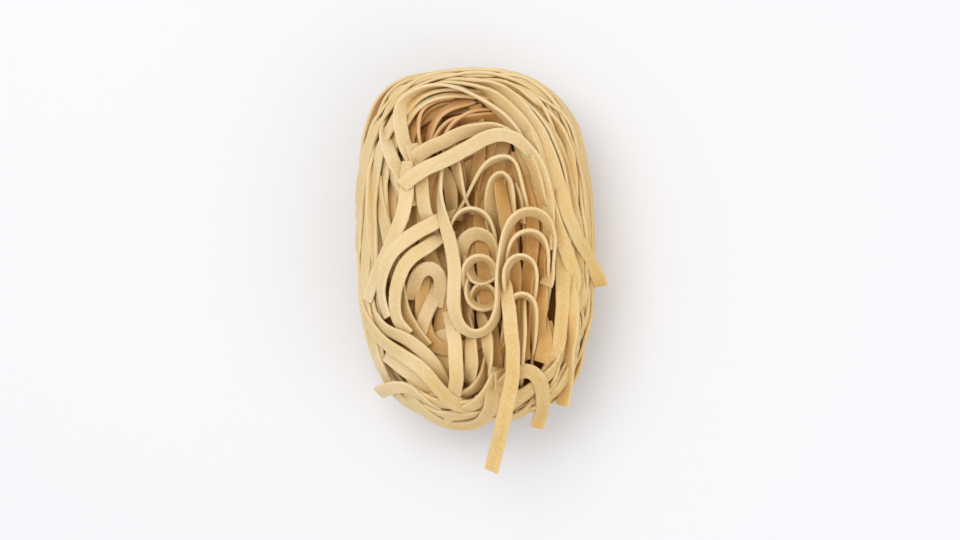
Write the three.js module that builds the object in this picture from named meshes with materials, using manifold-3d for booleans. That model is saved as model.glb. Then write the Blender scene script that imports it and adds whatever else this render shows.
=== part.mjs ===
import * as THREE from 'three';
import { mergeVertices } from 'three/addons/utils/BufferGeometryUtils.js';
import Module from 'manifold-3d';

// A nest of dried tagliatelle: flat strands wound round an oval hollow and dried in that shape.
// One solid: a core with the strands that show fused on. Millimetres, +Z up, the long way of the
// nest along Y, the flat underside at z = 0, origin in the middle of the footprint.

const wasm = await Module();
wasm.setup();

// strand
const strandWidth = 3.9;
const strandThick = 0.9;
const stationGap = 1.25;
const bendTolerance = 0.8;
const twistTolerance = 45;
const stationsPerPiece = 14;

// the oval tube the strands are wound in
const ringHalfWidth = 16.6;
const ringHalfLength = 32;
const ringSquareness = 2.7;
const tubeHalfWidth = 15;
const tubeHalfHeight = 16.8;
const tubeCentre = 17.8;

// core: how far outside the middle line of the tube its wall stands, and at what height
const coreColumns = 28;
const coreProfile = [
  [9, 0], [12.6, 7], [13.4, 15], [12.6, 21.5], [9.5, 27], [4, 30], [-4, 29.5], [-12, 28.5],
];

// strands wound once round the outside of the tube, numbered, between two height angles
const hoops = [0, 2, 4, 7, 9];
const hoopLowest = -64;
const hoopHighest = 62;

// strands that sweep round the flanks, in degrees round the nest (0 at +X, 90 at +Y): where from
// and to, height angle on the tube on the way and how far out, 1 being the surface of the tube
const sweeps = [
  { from: 175, to: -75, climb: [8, 22, 28, 22, 12], out: [1.02, 1.02, 1] },
  { from: 100, to: -65, climb: [12, 7, 10, 4, -6], out: [1.03, 1.02, 1] },
];

// strands laid over the top: points that steer the middle of the strand, and how far it leans on
// its way, 0 lying flat and 90 standing on edge
const overTopEnd = [
  { lean: [40, 45, 50, 65, 75, 75, 70, 60, 50, 45, 45, 45, 45], path: [[-27, -18, 26.5], [-29, -9.5, 26],
    [-30, -0.5, 25], [-32, 10.5, 17.5], [-31.5, 20.5, 18], [-30.5, 29.5, 18], [-28, 39, 18],
    [-22.5, 45, 18], [-14.5, 47.5, 18], [-4, 48, 18], [7.5, 45, 26.5], [17, 40.5, 27.5],
    [23.5, 34.5, 26.5], [27, 27, 26], [29, 17.5, 26.5], [29.5, 7.5, 27], [30, -2, 27], [30, -12, 26],
    [30, -21, 22], [29, -29, 17.5], [27, -36, 17], [22.5, -41.5, 14.5], [15.5, -44, 12]] },
  { lean: [40, 50, 60, 75, 75, 65, 50, 35, 28, 25, 25, 25], path: [[-24, -7.5, 29.5], [-26, 0, 29.5],
    [-27, 8.5, 30], [-27, 17.5, 29.5], [-27.5, 27, 26], [-27, 36, 18.5], [-23.5, 42.5, 18.5],
    [-18, 46, 18.5], [-10, 47, 18.5], [0.5, 44, 29], [8.5, 41, 31.5], [15.5, 36, 32.5], [21, 29.5, 32],
    [24, 22.5, 32], [25.5, 14, 32], [26, 5, 31.5], [26.5, -4, 31], [26.5, -13, 31], [27, -22, 30],
    [26, -30, 27.5], [24.5, -37, 19.5], [24, -44, 19]] },
  { lean: [20, 35, 45, 60, 75, 70, 55, 40, 30, 30, 40], path: [[-15, 9.5, 34.5], [-17.5, 16, 34.5],
    [-21, 22, 33.5], [-23, 29, 31], [-25, 37.5, 19], [-22.5, 43, 19], [-17, 45.5, 19], [-9, 44.5, 27.5],
    [-1, 42.5, 31.5], [6.5, 39, 34.5], [12, 34.5, 35], [15.5, 30.5, 35], [18, 25, 35], [20, 18.5, 34.5],
    [21.5, 10.5, 34.5], [22, 2.5, 32.5], [22.5, -6, 30.5]] },
  { lean: [45, 55, 70, 80, 65, 50], path: [[-14, 19.5, 32.5], [-17, 24.5, 33.5], [-18.5, 30.5, 33.5],
    [-18.5, 36.5, 31], [-15.5, 40, 30.5], [-10.5, 42, 31], [-5.5, 42, 32.5], [-0.5, 40, 34.5],
    [4.5, 37, 35.5], [9, 33.5, 35.5], [12.5, 29.5, 35.5], [15, 24, 34.5], [16.5, 18.5, 33.5]] },
];
const inPocket = [
  { lean: [70, 75, 70], path: [[-4.5, 40, 30], [-10, 39, 30.5], [-13.5, 36, 31.5], [-14, 32, 32.5],
    [-13.5, 27.5, 32.5], [-11.5, 23.5, 31.5]] },
  { lean: [70, 75, 70], path: [[1, 37.5, 31], [-4, 36.5, 32], [-7.5, 34.5, 32.5], [-9.5, 31.5, 33],
    [-10.5, 28.5, 32.5], [-11.5, 24.5, 31.5]] },
  { lean: [75, 75, 70], path: [[6, 35, 31.5], [1.5, 35, 32.5], [-2.5, 33, 33], [-5, 31, 33],
    [-7.5, 27.5, 32.5], [-9, 24, 31.5]] },
  { lean: [80, 80, 70], path: [[11, 29, 33.5], [6.5, 31, 34], [1.5, 31.5, 34], [-2.5, 30.5, 34],
    [-6.5, 28.5, 33.5], [-9, 26, 33.5]] },
];
const slantwise = [
  { lean: [20, 30, 45, 55, 50, 45], path: [[-14, 22, 36.5], [-11, 24.5, 37], [-6.5, 26, 37.5],
    [-2, 28.5, 37.5], [2.5, 29.5, 37.5], [7, 30, 37.5], [11, 28.5, 37], [15, 25, 36.5], [18, 20, 36.5],
    [19.5, 14, 35.5], [20, 7, 35]] },
  { lean: [15, 20, 30, 45, 50, 50], path: [[-17.5, 14.5, 37], [-14.5, 17, 38], [-10, 19.5, 38.5],
    [-5, 21.5, 38], [-0.5, 24, 38], [4, 26.5, 38.5], [8, 28, 39], [12, 27.5, 38.5], [16, 24.5, 38],
    [19.5, 19.5, 37], [21.5, 13, 36], [22, 5.5, 35.5], [21.5, -3.5, 35.5]] },
];
const inHollow = [
  { lean: [20, 15, 20, 40], path: [[-15.5, 26, 33.5], [-13, 19, 35], [-12.5, 12.5, 35], [-12, 6.5, 33.5],
    [-9, 0, 30.5]] },
  { lean: [60, 65, 75], path: [[-5, 26.5, 34.5], [-3.5, 21, 33.5], [-2.5, 16, 32.5], [-1.5, 12, 31.5],
    [0.5, 7.5, 29.5]] },
  { lean: [70, 85, 85, 80, 60], path: [[-4, 6, 29], [-1.5, 11, 30.5], [1, 15.5, 32], [3.5, 19, 34],
    [6.5, 21.5, 35.5], [10.5, 22.5, 36], [13, 21, 36], [14, 17, 35.5], [14.5, 12.5, 34.5],
    [16, 8.5, 33.5]] },
  { lean: [40, 50, 75, 75, 60], path: [[6, 1, 31], [5, 7.5, 31], [4.5, 13.5, 32], [6, 17.5, 33],
    [9, 18.5, 34], [11, 16, 34], [12, 11.5, 34], [12, 6, 34]] },
  { lean: [60, 60, 60], path: [[-9.5, 21, 32], [-6, 16.5, 31], [-6, 10.5, 30], [-5, 5, 29]] },
  { lean: [30, 25, 30], path: [[13, 27.5, 33.5], [15.5, 22, 33.5], [17, 15.5, 33.5], [17.5, 8, 33]] },
];
const longBend = [
  { lean: [60, 70, 70, 50, 25, 10, 5, 15, 45, 58, 60, 62, 65, 68, 65, 62, 60, 60, 60, 62, 65, 65], path: [
    [-6.5, 23.5, 32], [-7.5, 17.5, 34], [-8, 12, 35], [-7, 6, 36], [-5, 0.5, 36.5], [-3.5, -6, 36.5],
    [-3.5, -12.5, 36.5], [-4, -18, 37.5], [-2, -23.5, 38], [2, -26, 38.5], [6.5, -24, 38.5],
    [8.5, -19.5, 38.5], [8.5, -13.5, 38], [8.5, -8, 37.5], [9.5, -2.5, 38], [10.5, 3, 38],
    [13.5, 7, 38.5], [18, 7.5, 38.5], [21, 5.5, 37], [22, 0.5, 36], [22, -5.5, 35], [20.5, -12, 34]] },
];
const leftFlank = [
  { lean: [35, 40, 45, 45, 35, 25, 20], path: [[-23.5, 12.5, 29], [-25.5, 6, 29.5], [-27.5, -1, 29.5],
    [-28.5, -7.5, 29], [-28.5, -14, 29], [-26.5, -20, 30.5], [-23, -24, 33], [-18.5, -25.5, 35],
    [-14, -28, 36], [-10, -32, 35.5], [-7, -37, 33.5], [-6, -42, 28.5]] },
  { lean: [60, 60, 45, 25, 15, 5, 10], path: [[-29, -4, 20.5], [-29.5, -12, 24], [-28, -20, 28],
    [-24, -26.5, 32], [-19, -30, 34.5], [-14.5, -32.5, 36], [-11, -35.5, 36], [-8, -39.5, 34.5],
    [-5, -43, 31.5], [-0.5, -44, 27.5]] },
  { lean: [35, 30, 35], path: [[-24.5, 17.5, 29.5], [-23.5, 10, 31], [-22, 2.5, 32], [-20.5, -5, 32.5],
    [-19.5, -12.5, 32]] },
  { lean: [50, 45, 50, 60], path: [[-21, 27.5, 29], [-21.5, 21, 32.5], [-20, 15.5, 34.5],
    [-17.5, 11, 35], [-17, 5.5, 34.5]] },
  { lean: [45, 40, 35, 45, 55], path: [[-16.5, 21.5, 34.5], [-16.5, 14, 35.5], [-17, 7.5, 36.5],
    [-19.5, 2, 36.5], [-22, -3.5, 35.5], [-25.5, -9, 32.5], [-27.5, -15.5, 30]] },
  { lean: [60, 50, 50, 65, 75, 70, 60], path: [[-24.5, -27, 30], [-25, -33, 25.5], [-23, -37.5, 23],
    [-18, -40.5, 27], [-13, -44, 25], [-9, -47.5, 18], [-3, -49, 18], [2.5, -48, 18], [6.5, -45, 27],
    [8.5, -39.5, 32]] },
  { lean: [15, 20, 35, 50], path: [[-25.5, -40.5, 25], [-21, -39, 32.5], [-17, -38.5, 31.5],
    [-13.5, -41, 30], [-9.5, -44.5, 26], [-6.5, -47, 17]] },
  { lean: [45, 40, 40], path: [[-23, -30.5, 29.5], [-18.5, -34, 31.5], [-14, -38, 31.5],
    [-10, -42.5, 29.5], [-7.5, -47, 18]] },
];
const leftMiddle = [
  { lean: [40, 15, 5, 20, 40, 50], path: [[-3, 11, 29], [-7, 6.5, 33], [-10.5, 4, 36],
    [-14.5, 1.5, 37.5], [-19, -1.5, 38], [-22, -5.5, 37], [-23.5, -10, 35.5], [-24, -15, 34],
    [-22, -20.5, 34]] },
  { lean: [40, 15, 5, 15, 35, 50], path: [[-3, 5, 29], [-7, 0.5, 33], [-11, -2, 36], [-14.5, -4, 37.5],
    [-17.5, -7.5, 38], [-19, -12, 37.5], [-20, -17, 36], [-19.5, -21.5, 35], [-16, -25, 35]] },
  { lean: [55, 70, 70, 70, 55], path: [[-15.5, -14, 32.5], [-14.5, -10, 35.5], [-13, -6.5, 37],
    [-10, -5, 37], [-7, -6.5, 36.5], [-7, -10, 35], [-8.5, -13.5, 33.5], [-11, -16, 31.5]] },
  { lean: [50, 50], path: [[-6.5, -7.5, 31.5], [-8.5, -14, 32.5], [-11.5, -19.5, 33],
    [-13.5, -25.5, 33]] },
];
const overBottomEnd = [
  { lean: [25, 10, 5, 10, 20], path: [[-5.5, -19, 32.5], [-3.5, -26, 37], [-3.5, -32.5, 38],
    [-4, -38.5, 36], [-5.5, -43, 31.5], [-8, -46, 16.5]] },
  { lean: [30, 25, 20, 20], path: [[-1, -20.5, 30.5], [0.5, -27.5, 36], [1, -33.5, 36.5], [0, -39, 34.5],
    [-1, -43.5, 29.5], [-3, -46.5, 16.5]] },
  { lean: [40, 25, 20, 20], path: [[3, -18, 30.5], [5, -25, 35.5], [5.5, -31.5, 37], [6.5, -37.5, 35.5],
    [6, -42.5, 31.5], [4, -46, 17.5]] },
  { lean: [60, 60, 50, 40, 30], path: [[13, -11, 34.5], [13.5, -18.5, 35], [14, -25.5, 35.5],
    [14, -32, 35], [14.5, -39, 29.5], [14, -44.5, 18.5]] },
  { lean: [30, 20, 10, 10, 10], path: [[9, -38, 33], [12, -35, 35], [16.5, -34, 35], [19, -37, 32],
    [19, -42, 24.5], [18, -45.5, 19], [17, -50, 18.5]] },
  { lean: [40, 35, 30, 30], path: [[20, -22, 30.5], [22, -29, 31], [22.5, -34.5, 28.5],
    [21.5, -39.5, 23], [18.5, -43, 15]] },
  { lean: [60, 70, 60], path: [[-11, -41, 30], [-7, -45.5, 24.5], [-1.5, -47, 17.5], [4.5, -45, 26],
    [8, -40.5, 31], [7.5, -34.5, 33.5]] },
  { lean: [60, 20, 0, 0, 0, 0], path: [[10, -6, 31], [10.5, -12, 36], [11.5, -19, 39], [12, -26, 39.5],
    [12.5, -32.5, 39.5], [12, -38, 38.5], [10.5, -43.5, 37], [9, -49.5, 35], [7.5, -55, 32],
    [5.5, -61.5, 29]] },
];
const rightFlank = [
  { lean: [70, 60, 45, 30, 20, 12, 12, 15, 20], path: [[-8, 45, 26.5], [1.5, 43, 30.5], [9, 40, 33],
    [14, 35.5, 34.5], [18.5, 30, 35], [21.5, 23.5, 35], [23, 16, 34.5], [25, 8.5, 34], [27.5, 2, 32],
    [30.5, -4.5, 27], [34.5, -11.5, 20.5]] },
  { lean: [65, 55, 45, 40, 40, 45], path: [[1, 45.5, 25.5], [10.5, 43, 29], [17.5, 38.5, 29.5],
    [23, 32.5, 29.5], [25.5, 25.5, 29.5], [27, 18, 30], [27.5, 10, 29.5], [27, 2.5, 28.5]] },
  { lean: [60, 50, 40, 28, 20, 18, 20, 30, 50], path: [[7.5, 37.5, 32.5], [13, 33, 34], [16.5, 27.5, 35],
    [19, 20.5, 35.5], [21, 13.5, 35.5], [23, 6, 34.5], [25, -1, 33.5], [27, -8.5, 31], [28, -16.5, 28],
    [28, -25, 22.5]] },
];

// tight bends: middle of the bend, radius, height, leg length, turn and lean in degrees
const bends = [
  { x: 16.1, y: -3.3, radius: 5.4, z: 37.1, leg: 14.2, turn: 3, lean: 50 },
  { x: 14.5, y: -8.9, radius: 4.3, z: 38, leg: 10.9, turn: 2, lean: 50 },
  { x: 14.9, y: -17.9, radius: 4, z: 37.1, leg: 15.9, turn: -3, lean: 50 },
  { x: 1.3, y: 2.4, radius: 5.9, z: 31.7, leg: 9.2, turn: -3, lean: 38 },
  { x: 2.5, y: -2.7, radius: 5, z: 32.9, leg: 7.5, turn: 3, lean: 34 },
  { x: 3.4, y: -8.7, radius: 4.3, z: 33.8, leg: 6.7, turn: 0, lean: 45 },
  { x: 3.6, y: -7.9, radius: 4.3, z: 33.2, leg: 5.9, turn: 176, lean: 55 },
  { x: 3.7, y: -14.4, radius: 4.1, z: 33.9, leg: 6.7, turn: 183, lean: 55 },
  { x: 3.2, y: -15.4, radius: 3.9, z: 32.7, leg: 7.5, turn: -4, lean: 48 },
];

const golden = (Math.sqrt(5) - 1) / 2;
const turn = 2 * Math.PI;
const radians = THREE.MathUtils.degToRad;

// evenly spread number from 0 to 1 for strand i
function spread(i, salt) {
  return (i * golden + salt * 0.3819660113 + 0.17 * salt * salt) % 1;
}

// smooth wandering between about -1 and 1, for strand i
function wander(t, i, salt, waves = [1, 2.3, 3.7]) {
  let total = 0;
  waves.forEach((f, k) => {
    total += Math.sin(turn * (f * t + spread(i + 3 * k, salt + k))) / (1 + k);
  });
  return total / 1.5;
}

// value at t (0 to 1) of a row of evenly spaced values
function along(values, t) {
  const at = t * (values.length - 1);
  const k = Math.min(Math.floor(at), values.length - 2);
  return values.length < 2 ? values[0] : THREE.MathUtils.lerp(values[k], values[k + 1], at - k);
}

// smooth curve through the neighbourhood of its control rows, ends at the first and last
function smooth(rows, per) {
  const mirror = (a, b) => a.map((v, k) => 2 * v - b[k]);
  const q = [mirror(rows[0], rows[1]), ...rows, mirror(rows.at(-1), rows.at(-2))];
  const curve = [];
  for (let k = 0; k + 3 < q.length; k++) {
    for (let s = 0; s < per; s++) {
      const u = s / per;
      const w = [(1 - u) ** 3, 3 * u ** 3 - 6 * u ** 2 + 4, -3 * u ** 3 + 3 * u ** 2 + 3 * u + 1, u ** 3];
      curve.push(q[k].map((_, n) => w.reduce((sum, v, m) => sum + v * q[k + m][n], 0) / 6));
    }
  }
  curve.push(rows.at(-1));
  return curve;
}

const signedPower = (v, e) => Math.sign(v) * Math.abs(v) ** e;

// point beside the oval middle line of the tube: theta round the nest, out from the line, height z
function roundOval(theta, out, z) {
  return new THREE.Vector3(
    (ringHalfWidth + out) * signedPower(Math.cos(theta), 2 / ringSquareness),
    (ringHalfLength + out) * signedPower(Math.sin(theta), 2 / ringSquareness),
    z,
  );
}

// point on the oval tube: psi round the tube, rho outward from its middle, 1 being its surface
function onRing(theta, psi, rho) {
  const height = tubeCentre + tubeHalfHeight * rho * signedPower(Math.sin(psi), 0.85);
  return roundOval(theta, tubeHalfWidth * rho * Math.cos(psi), height);
}

// direction a strand's face looks at that place; at the ends of the nest strands stand on edge
function ringFacing(theta, face) {
  const outward = new THREE.Vector2(Math.cos(theta) * ringHalfLength, Math.sin(theta) * ringHalfWidth);
  outward.normalize().multiplyScalar(Math.cos(face));
  const upright = 1 - 0.85 * Math.abs(Math.sin(theta)) ** 1.5;
  return new THREE.Vector3(outward.x, outward.y, Math.sin(face) * upright);
}

// strand wound once round the outside, rising and sinking a little, lowest at the -Y end
function hoopStrand(i) {
  const height = radians(THREE.MathUtils.lerp(hoopLowest, hoopHighest, (i * golden + 0.03) % 1));
  const drift = radians(40 * (spread(i, 5) - 0.5));
  const turns = (1.02 + 0.18 * spread(i, 4)) * (i % 4 === 3 ? -1 : 1);
  const stations = [];
  for (let s = 0; s < 500; s++) {
    const t = s / 499;
    const tucked = Math.max(0, Math.abs(2 * t - 1) - 0.86) / 0.14;
    const theta = turn * (spread(i, 3) + turns * t);
    const level = height + drift * (t - 0.5) + 0.2 * wander(t, i, 6, [0.6, 1.3, 2.3]);
    const sag = 0.5 * Math.max(0, -Math.sin(theta)) ** 3;
    const dip = 0.45 * Math.min(Math.max(level, 0), 1) * Math.max(0, Math.cos(theta + 0.5)) ** 8;
    const psi = level - sag - dip;
    const rho = Math.min(0.97 + 0.05 * wander(t, i, 8, [0.8, 1.7, 2.8]), 1.01) - 0.25 * tucked ** 2;
    const roll = 0.5 * wander(t, i, 10, [0.9, 1.8, 3.5]);
    stations.push({ at: onRing(theta, psi, rho), facing: ringFacing(theta, psi + roll) });
  }
  return evenStations(stations);
}

function sweptStrand({ from, to, climb, out }, i) {
  const rows = [];
  for (let k = 0; k < 10; k++) {
    const t = k / 9;
    rows.push([radians(THREE.MathUtils.lerp(from, to, t)), radians(along(climb, t)), along(out, t)]);
  }
  const curve = smooth(rows, 40);
  return evenStations(curve.map(([theta, psi, rho], k) => {
    const t = k / (curve.length - 1);
    return {
      at: onRing(theta, psi + 0.07 * wander(t, i, 60), rho * (1 + 0.02 * wander(t, i, 61))),
      facing: ringFacing(theta, psi + 0.35 * wander(t, i, 62)),
    };
  }));
}

function laidStrand({ path, lean }) {
  const rows = path.map((p, k) => [...p, radians(along(lean, k / (path.length - 1)))]);
  const curve = smooth(rows, 24);
  return evenStations(curve.map(([x, y, z, tip], k) => {
    const a = curve[Math.max(k - 1, 0)];
    const b = curve[Math.min(k + 1, curve.length - 1)];
    const side = new THREE.Vector3(b[1] - a[1], a[0] - b[0], 0).normalize();
    return {
      at: new THREE.Vector3(x, y, z),
      facing: side.multiplyScalar(Math.sin(tip)).add(new THREE.Vector3(0, 0, Math.cos(tip))),
    };
  }));
}

function bentStrand({ x, y, z, radius, leg, turn: degrees, lean }) {
  const outline = [[-0.85, -leg, -9], [-1, -4.6, -2], [-1, 0, 0], [-0.72, 0.75 * radius, 0.3],
    [0, 1.08 * radius, 0.6], [0.72, 0.75 * radius, 0.3], [1, 0, 0], [1, -4.6, -2], [0.85, -leg, -9]];
  const cos = Math.cos(radians(degrees));
  const sin = Math.sin(radians(degrees));
  const path = outline.map(([u, v, dz]) => [
    x + u * radius * cos + v * sin, y - u * radius * sin + v * cos, z + dz]);
  return laidStrand({ path, lean: [lean] });
}

// stations at equal distances along the strand
function evenStations(stations) {
  const run = [0];
  for (let k = 1; k < stations.length; k++) {
    run.push(run[k - 1] + stations[k].at.distanceTo(stations[k - 1].at));
  }
  const count = Math.max(8, Math.round(run.at(-1) / stationGap));
  const even = [];
  let k = 0;
  for (let n = 0; n <= count; n++) {
    const goal = (run.at(-1) * n) / count;
    while (k < run.length - 2 && run[k + 1] < goal) k++;
    const t = (goal - run[k]) / (run[k + 1] - run[k]);
    even.push({
      at: stations[k].at.clone().lerp(stations[k + 1].at, t),
      facing: stations[k].facing.clone().lerp(stations[k + 1].facing, t),
    });
  }
  return even;
}

// direction across the width of the strand at each station
function addWidths(stations) {
  stations.forEach((s, k) => {
    const ahead = stations[Math.min(k + 1, stations.length - 1)].at;
    const behind = stations[Math.max(k - 1, 0)].at;
    s.tangent = ahead.clone().sub(behind).normalize();
    s.across = s.facing.clone().cross(s.tangent).normalize();
  });
  return stations;
}

// the fewest stations that keep the strand's line and twist
function fewStations(stations) {
  const kept = [stations[0]];
  const chord = new THREE.Line3();
  const foot = new THREE.Vector3();
  let from = 0;
  for (let k = 2; k < stations.length; k++) {
    chord.set(stations[from].at, stations[k].at);
    const strays = stations.slice(from + 1, k).some(
      (s) => chord.closestPointToPoint(s.at, true, foot).distanceTo(s.at) > bendTolerance);
    const twists = stations[from].across.angleTo(stations[k].across) > radians(twistTolerance);
    if (strays || twists) {
      from = k - 1;
      kept.push(stations[from]);
    }
  }
  kept.push(stations.at(-1));
  return kept;
}

// closed solid from vertex rows that each go once round, capped at both ends
function solidFromRows(rows) {
  const columns = rows[0].length;
  const positions = rows.flat().flatMap((v) => v.toArray());
  const triangles = [];
  for (let r = 0; r + 1 < rows.length; r++) {
    for (let c = 0; c < columns; c++) {
      const a = r * columns + c;
      const b = r * columns + ((c + 1) % columns);
      triangles.push(a, b, b + columns, a, b + columns, a + columns);
    }
  }
  const last = (rows.length - 1) * columns;
  for (let c = 1; c + 1 < columns; c++) {
    triangles.push(0, c + 1, c, last, last + c, last + c + 1);
  }
  const geometry = new THREE.BufferGeometry();
  geometry.setAttribute('position', new THREE.Float32BufferAttribute(positions, 3));
  geometry.setIndex(triangles);
  return toManifold(geometry);
}

function toManifold(geometry) {
  const bare = new THREE.BufferGeometry();
  bare.setAttribute('position', geometry.attributes.position);
  bare.setIndex(geometry.index);
  const merged = mergeVertices(bare, 1e-5);
  return new wasm.Manifold(new wasm.Mesh({
    numProp: 3,
    vertProperties: new Float32Array(merged.attributes.position.array),
    triVerts: new Uint32Array(merged.index.array),
  }));
}

// four-sided ribbon along a strand, in pieces short enough not to cross themselves
function ribbons(stations) {
  const kept = fewStations(addWidths(stations));
  const solids = [];
  for (let start = 0; start < kept.length - 1; start += stationsPerPiece) {
    const rows = kept.slice(start, start + stationsPerPiece + 1).map(ribbonSection);
    solids.push(solidFromRows(rows));
  }
  return solids;
}

function ribbonSection({ at, tangent, across }) {
  const upward = tangent.clone().cross(across);
  return [[1, 1], [-1, 1], [-1, -1], [1, -1]].map(([a, b]) => at.clone()
    .addScaledVector(across, (a * strandWidth) / 2)
    .addScaledVector(upward, (b * strandThick) / 2));
}

// the wound mass under the strands: flat below, rounded outside, dished in the middle
function core() {
  return solidFromRows(coreProfile.map(([out, z]) => {
    const points = [];
    for (let c = 0; c < coreColumns; c++) points.push(roundOval((turn * c) / coreColumns, out, z));
    return points;
  }));
}

// everything below the surface the nest stands on
function belowFloor() {
  return toManifold(new THREE.BoxGeometry(200, 300, 20).translate(0, 0, -10));
}

function allStrands() {
  const strands = [];
  hoops.forEach((i) => strands.push(hoopStrand(i)));
  sweeps.forEach((sweep, i) => strands.push(sweptStrand(sweep, i)));
  const laid = [
    overTopEnd, inPocket, slantwise, inHollow, longBend, leftFlank, leftMiddle, overBottomEnd, rightFlank,
  ];
  laid.flat().forEach((strand) => strands.push(laidStrand(strand)));
  bends.forEach((bend) => strands.push(bentStrand(bend)));
  return strands;
}

// core and strands as one body, without sealed gaps or loose crumbs
function nest() {
  const fused = allStrands().flatMap(ribbons).reduce((body, ribbon) => body.add(ribbon), core());
  const bodies = fused.subtract(belowFloor()).decompose();
  return bodies.reduce((a, b) => (a.volume() > b.volume() ? a : b));
}

function centredGeometry(body) {
  const { vertProperties, triVerts } = body.getMesh();
  const geometry = new THREE.BufferGeometry();
  geometry.setAttribute('position', new THREE.BufferAttribute(vertProperties, 3));
  geometry.setIndex(new THREE.BufferAttribute(triVerts, 1));
  geometry.computeBoundingBox();
  const { min, max } = geometry.boundingBox;
  return geometry.translate(-(min.x + max.x) / 2, -(min.y + max.y) / 2, 0);
}

const driedPasta = new THREE.MeshStandardMaterial({ color: 0xd8b377, roughness: 0.7, metalness: 0 });
const pastaNest = new THREE.Mesh(centredGeometry(nest()), driedPasta);
pastaNest.name = 'pasta_nest';
const group = new THREE.Group();
group.name = 'dry_pasta_nest';
group.add(pastaNest);

export default group;
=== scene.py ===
import math
import bpy
import numpy as np
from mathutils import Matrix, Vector


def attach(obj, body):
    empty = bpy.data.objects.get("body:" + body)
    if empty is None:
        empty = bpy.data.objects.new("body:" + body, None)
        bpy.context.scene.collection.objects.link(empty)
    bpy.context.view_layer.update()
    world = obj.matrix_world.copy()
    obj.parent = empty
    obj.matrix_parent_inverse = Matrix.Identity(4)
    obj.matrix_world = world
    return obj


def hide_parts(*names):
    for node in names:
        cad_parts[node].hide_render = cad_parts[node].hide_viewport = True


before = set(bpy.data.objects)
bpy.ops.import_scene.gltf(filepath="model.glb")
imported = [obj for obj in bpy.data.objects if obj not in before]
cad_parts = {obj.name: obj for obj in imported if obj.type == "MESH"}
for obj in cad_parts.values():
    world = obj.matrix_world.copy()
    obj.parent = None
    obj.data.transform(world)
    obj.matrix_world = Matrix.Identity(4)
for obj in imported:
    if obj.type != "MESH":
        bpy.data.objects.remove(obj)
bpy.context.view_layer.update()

# a nest of dried tagliatelle: lengths here are in mm, and become metres when the mesh is made
strand = {
    "width": 3.9, "thick": 0.9, "length": 275.0,
    "gap": 1.25,          # between the stations along a strand
    "edge": 0.24,         # rounding of the cut edges
    "sharpFrom": 38,      # degrees between faces that meet in a sharp edge
    "skew": 0.35, "rim": 0.86, "worn": 0.12,  # the ends are cut slightly askew, with a worn rim
    "widthVaries": (0.035, 60), "thickVaries": (0.07, 45),  # by how much, and over which length
    "cup": (0.16, 50),    # the middle of a face sinks or swells
    "wave": (0.07, 9),    # both cut edges swerve
}
ring = {  # the oval tube that the strands are wound in
    "halfWidth": 16.6, "halfLength": 32.0, "squareness": 2.7,
    "tubeWidth": 15.0, "tubeHeight": 16.8, "tubeSquareness": 0.85, "middle": 17.8,
}
wound = {"hoops": 16, "inner": 10, "under": 16, "base": 14}  # how many strands of each kind
heart = {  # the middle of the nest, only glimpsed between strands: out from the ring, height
    "profile": [(5, 3), (9, 8), (11.2, 15), (10.8, 21), (8, 26), (3, 28.5), (-3, 28), (-9, 26), (-15, 23)],
    "columns": 96,
}
place = (-1.51, 7.01)     # from the middle of the ring to the middle of the footprint
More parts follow.
